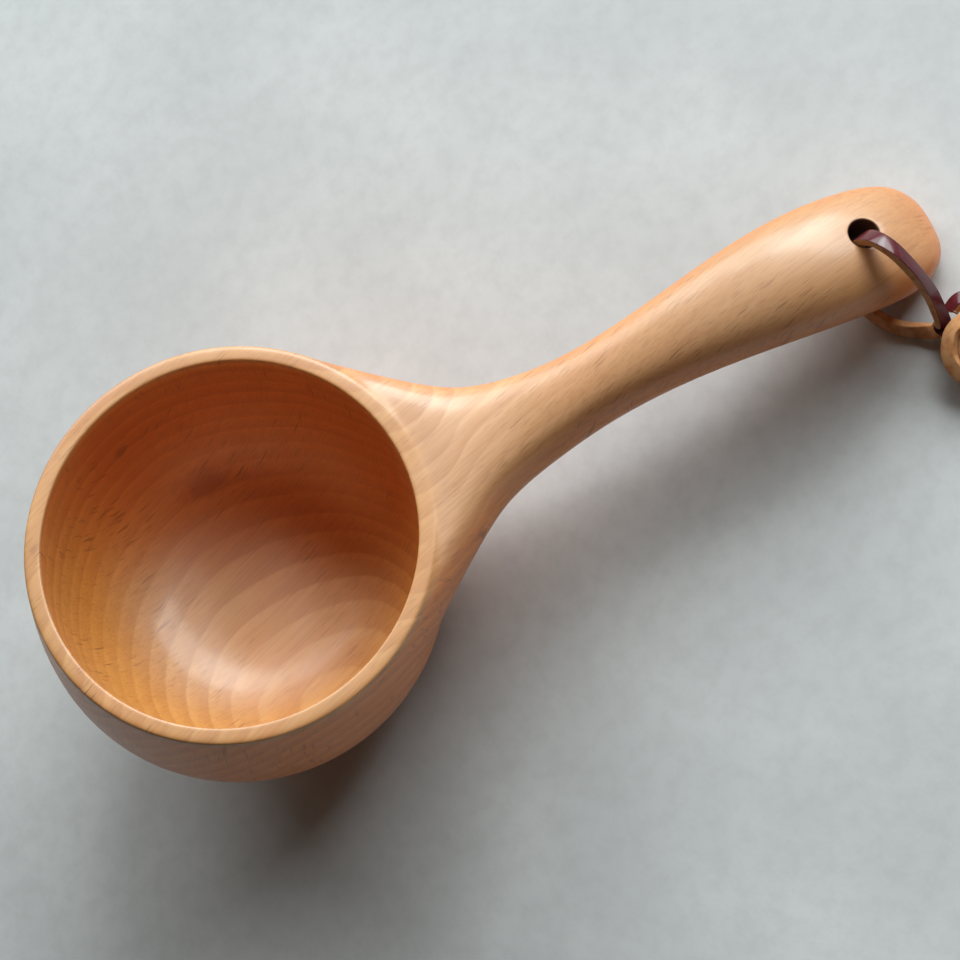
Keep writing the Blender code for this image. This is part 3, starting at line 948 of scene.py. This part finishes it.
def tint_with_painted_light(tree, along, across, inside, rim, upright):
    """Painted sheen and shade, multiplied into the colour, from where the surface lies and how far it faces
    up.
    """
    # Painted shade on the bowl's far inner wall
    painted_shade_far_wall = tree.between(tree.math("MULTIPLY_ADD", along, FAR_WALL_TURN, across), *FAR_WALL_SPAN)
    wall = tree.mixed(inside, PAINTED_LIGHT_TINTS["wall"], PAINTED_LIGHT_TINTS["painted_light_wall_inside"])
    top = tree.mixed(tree.between(along, *GRIP_SPAN), PAINTED_LIGHT_TINTS["top"], PAINTED_LIGHT_TINTS["painted_sheen_grip_top"])
    top = tree.mixed(inside, top, PAINTED_LIGHT_TINTS["painted_sheen_floor_inside"])
    # Painted shade, deeper underneath than on the upright walls
    painted_light_tint = tree.mixed(tree.between(upright, *UNDERSIDE_SPAN), PAINTED_LIGHT_TINTS["underside"], wall)
    # Painted sheen on what faces up, paler and cooler on the grip's top and the bowl's floor
    painted_sheen_mask = tree.between(tree.math("MULTIPLY_ADD", inside, INSIDE_LATER, upright), *TOP_SPAN)
    painted_light_tint = tree.mixed(painted_sheen_mask, painted_light_tint, top)
    painted_light_tint = tree.add("ShaderNodeVectorMath", painted_light_tint, operation="SCALE", named={"Scale": tree.curve(along, TONE)})
    # A milder painted sheen on the rim's top
    painted_light_tint = tree.mixed(rim, painted_light_tint.outputs[0], PAINTED_LIGHT_TINTS["rim"])
    return tree.mixed(tree.math("MULTIPLY", inside, painted_shade_far_wall), painted_light_tint, PAINTED_LIGHT_TINTS["painted_shade_far_wall"])


def beech_material(stands):
    """Oiled beech: leaning growth layers, grain at a slant to the handle, and the flecks of its rays.

    Object coordinates go back into the carving frame first, so that the grain follows the scoop's own axes.
    """
    made, tree, shader = new_material("beech_oiled", **WOOD_CONSTANTS)
    place = tree.add("ShaderNodeTexCoord").outputs["Object"]
    back = {"Location": stands.to_translation(), "Rotation": stands.to_euler()}
    place = tree.add("ShaderNodeMapping", place, vector_type="TEXTURE", named=back).outputs[0]
    along, across, up = tree.add("ShaderNodeSeparateXYZ", place).outputs
    slant = tree.math("MULTIPLY_ADD", along, GRAIN_SLANT[1], GRAIN_SLANT[0])
    beside = tree.math("SUBTRACT", across, tree.math("MULTIPLY", along, slant))
    grain = tree.add("ShaderNodeCombineXYZ", along, beside, up).outputs[0]
    normal = tree.add("ShaderNodeTexCoord").outputs["Normal"]
    upright = tree.add("ShaderNodeVectorMath", normal, stands.to_3x3() @ Vector((0.0, 0.0, 1.0)),
                       operation="DOT_PRODUCT").outputs["Value"]
    radius = tree.length(tree.scaled(place, (1.0, 1.0, 0.0)))
    rim = tree.both(radius, RIM_SPANS[0], up, RIM_SPANS[1])
    inside = tree.both(radius, INSIDE_SPANS[0], up, INSIDE_SPANS[1])

    dark_edge, crest = growth_layers(tree, along, across, up, grain)
    marks = {
        "crest": crest,
        "streak": wood_noise(tree, grain, "streak"),
        "pore": wood_noise(tree, grain, "pore"),
        "fleck": ray_flecks(tree, along, grain, normal),
        "stain": tree.math("MULTIPLY", stain_spot(tree, place, grain), inside),
    }
    patches = wood_noise(tree, grain, "patch")
    colour = tree.mixed(tree.math("MULTIPLY", dark_edge, DEEP_SHARE), tree.mixed(patches, *PALE),
                        tree.mixed(patches, *DEEP))
    for name, amount in marks.items():
        paint, share = MARKS[name]
        colour = tree.mixed(tree.math("MULTIPLY", amount, share), colour, paint)
    # Painted sheen on what faces up and painted shade on walls, undersides and the far inner wall
    painted_light_tint = tint_with_painted_light(tree, along, across, inside, rim, upright)
    colour = tree.mixed(1.0, colour, painted_light_tint, "MULTIPLY")
    # Painted shade, nearly black, on the bored hole's side
    paint, share = MARKS["painted_hole_shade"]
    colour = tree.mixed(tree.math("MULTIPLY", hole_side(tree, place), share), colour, paint)

    roughness = wood_noise(tree, grain, "sheen", WOOD_ROUGHNESS)
    pits = tree.math("MULTIPLY", marks["pore"], PORE_HEIGHT)
    height = tree.math("MULTIPLY_ADD", tree.noise(grain, HAND_SCALE, 1.0), HAND_HEIGHT, pits)
    height = tree.math("MULTIPLY_ADD", marks["fleck"], FLECK_HEIGHT, height)
    finish_material(tree, shader, colour, roughness, height, WOOD_RELIEF)
    return made


def leather_fibres():
    """Fine fibres and pores for both sides of the leather, as a group."""
    group = bpy.data.node_groups.new("leather_fibres", "ShaderNodeTree")
    group.interface.new_socket("Coarse", in_out="INPUT", socket_type="NodeSocketFloat")
    group.interface.new_socket("Mottle", in_out="OUTPUT", socket_type="NodeSocketFloat")
    group.interface.new_socket("Fibre", in_out="OUTPUT", socket_type="NodeSocketFloat")
    tree = Tree(group)
    coarse = tree.add("NodeGroupInput").outputs[0]
    place = tree.add("ShaderNodeTexCoord").outputs["Object"]
    mottle = tree.noise(place, *LEATHER_MOTTLE)
    fibre = tree.noise(place, coarse, *FIBRE_DETAIL)
    tree.add("NodeGroupOutput", mottle, fibre)
    return group


def leather_materials():
    """The materials of the grain side and of the flesh side, in this order."""
    group = leather_fibres()
    made = []
    for name, look in LEATHER.items():
        material, tree, shader = new_material(name, **look["constants"])
        fibres = tree.add("ShaderNodeGroup", node_tree=group, named={"Coarse": look["fibres"]}).outputs
        first, second = look["colours"]
        colour = tree.mixed(tree.between(fibres["Mottle"], *MOTTLE_SPAN), first, second)
        colour = tree.mixed(tree.between(fibres["Fibre"], *FIBRE_SPAN, 0.0, FIBRE_SHARE), colour, second)
        roughness = tree.between(fibres["Mottle"], *MOTTLE_ROUGH_SPAN, *look["roughness"])
        finish_material(tree, shader, colour, roughness, fibres["Fibre"], look["relief"])
        made.append(material)
    return made


# Floor, light and camera


def make_floor():
    mesh = bmesh.new()
    bmesh.ops.create_grid(mesh, x_segments=2, y_segments=2, size=FLOOR_SIZE / 2)
    data = bpy.data.meshes.new("floor")
    mesh.to_mesh(data)
    mesh.free()
    floor = new_object("floor", data)
    made, tree, shader = new_material("pale_floor", specular_ior_level=FLOOR_SHINE)
    place = tree.add("ShaderNodeTexCoord").outputs["Object"]
    clouds = tree.noise(place, *CLOUDS)
    colour = tree.mixed(tree.between(clouds, *CLOUD_SPAN), *CLOUD_COLOURS)
    mottle = tree.between(tree.noise(place, *FLOOR_MOTTLE), *FLOOR_MOTTLE_SPAN, 0.0, FLOOR_MOTTLE_SHARE)
    colour = tree.mixed(mottle, colour, FLOOR_MOTTLE_COLOUR)
    roughness = tree.between(clouds, *CLOUD_SPAN, *FLOOR_ROUGHNESS)
    finish_material(tree, shader, colour, roughness, tree.noise(place, FLOOR_GRIT_SCALE), FLOOR_RELIEF)
    floor.data.materials.append(made)


def make_light():
    for name, facts in WINDOWS.items():
        azimuth = math.radians(facts["azimuth"])
        elevation = math.radians(facts["elevation"])
        flat = math.cos(elevation)
        towards = Vector((flat * math.cos(azimuth), flat * math.sin(azimuth), math.sin(elevation)))
        window = bpy.data.lights.new(name, "AREA")
        window.shape = "RECTANGLE"
        window.size, window.size_y = facts["size"]
        window.energy = facts["power"]
        window.color = WINDOW_COLOUR
        lamp = new_object(name, window)
        lamp.location = towards * WINDOW_DISTANCE
        lamp.rotation_euler = towards.to_track_quat("Z", "Y").to_euler()
    world = bpy.data.worlds.new("room")
    world.use_nodes = True
    background = world.node_tree.nodes["Background"]
    background.inputs["Color"].default_value = (*ROOM_COLOUR, 1.0)
    background.inputs["Strength"].default_value = ROOM_STRENGTH
    bpy.context.scene.world = world


def make_camera():
    data = bpy.data.cameras.new("camera")
    data.lens = LENS_MM
    data.sensor_width = SENSOR_MM
    data.clip_start = NEAREST_SEEN
    camera = new_object("camera", data)
    back = (Vector(CAMERA_AT) - Vector(CAMERA_AIM)).normalized()
    right = Vector(CAMERA_UP).cross(back).normalized()
    up = back.cross(right)
    turn = Matrix((right, up, back)).transposed().to_4x4()
    camera.matrix_world = Matrix.Translation(CAMERA_AT) @ turn
    bpy.context.scene.camera = camera


def main():
    make_camera()
    stands = stance()
    hole, slope = hole_middle()
    under_hole = stands @ hole
    grain, flesh = leather_materials()
    for piece in make_lace((under_hole.x, under_hole.y, 0.0)):
        piece.data.materials.append(grain)
        piece.data.materials.append(flesh)
    make_scoop(stands).data.materials.append(beech_material(stands))
    make_floor()
    make_light()
    bpy.context.scene.view_settings.view_transform = "Standard"


main()
